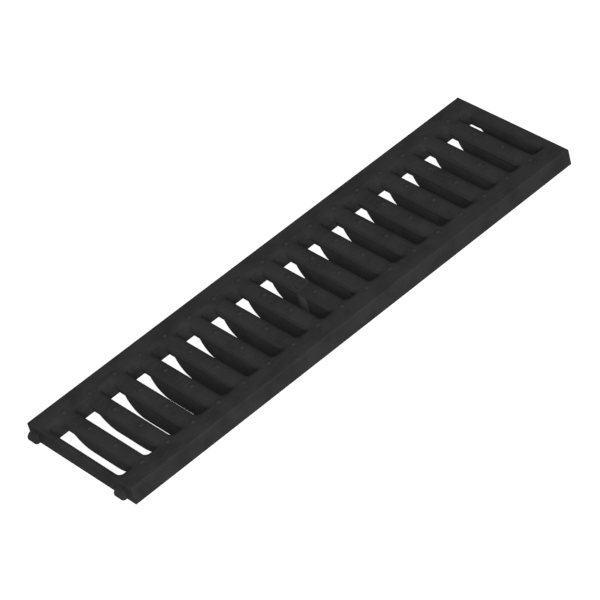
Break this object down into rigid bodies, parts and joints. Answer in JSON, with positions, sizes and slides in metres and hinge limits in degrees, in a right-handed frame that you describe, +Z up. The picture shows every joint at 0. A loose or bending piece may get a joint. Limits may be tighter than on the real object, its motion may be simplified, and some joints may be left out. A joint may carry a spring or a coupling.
{
  "type": "channel drain grate",
  "caption": "Slotted plastic grate for a narrow drainage channel, with crowned cross bars on bellied webs, a fixing boss in the middle bar, and joining lugs and sockets at its ends.",
  "frame": {"origin": "on the axis of the fixing boss, at the level of the bearing faces under the rim", "axes": "+X along the channel from the lug end to the socket end, +Y across the channel, +Z up through the walked-on face"},
  "size_m": [0.506, 0.136, 0.0318],
  "materials": {
    "black_plastic": "semi-matte moulded plastic, black"
  },
  "bodies": {
    "root": {"grate": "black_plastic"}
  },
  "joints": []
}
